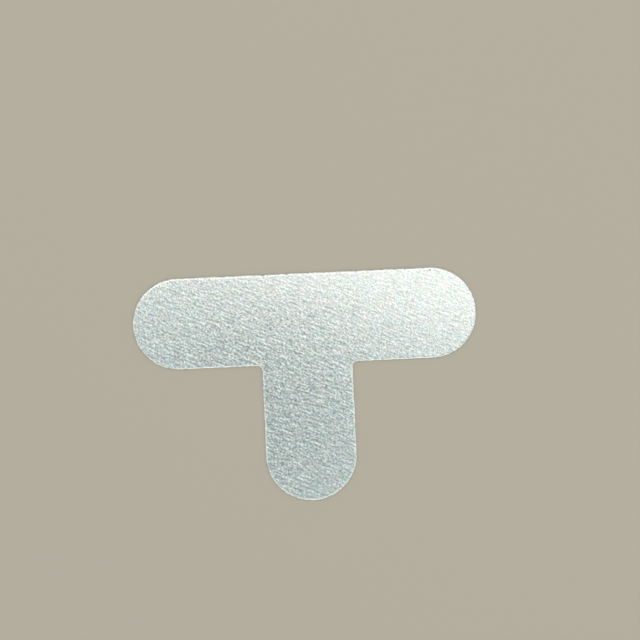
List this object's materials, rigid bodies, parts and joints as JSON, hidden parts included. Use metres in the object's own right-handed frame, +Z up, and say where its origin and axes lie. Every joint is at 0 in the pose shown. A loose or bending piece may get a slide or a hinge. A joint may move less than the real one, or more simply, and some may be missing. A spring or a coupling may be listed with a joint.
{
  "type": "nickel strip",
  "caption": "Flat T-shaped connecting strip punched from thin nickel sheet, with round pads at its arm ends, spot-welded across cell terminals to join them and carry a lead.",
  "frame": {"origin": "on the underside, midway between the centres of the bar's two round ends", "axes": "+X along the bar, -Y along the stem to its round tip, +Z up out of the face with the rolled-over edge"},
  "size_m": [0.0272, 0.018, 0.0002],
  "materials": {
    "nickel": "satin"
  },
  "bodies": {
    "root": {"nickel_strip": "nickel"}
  },
  "joints": []
}
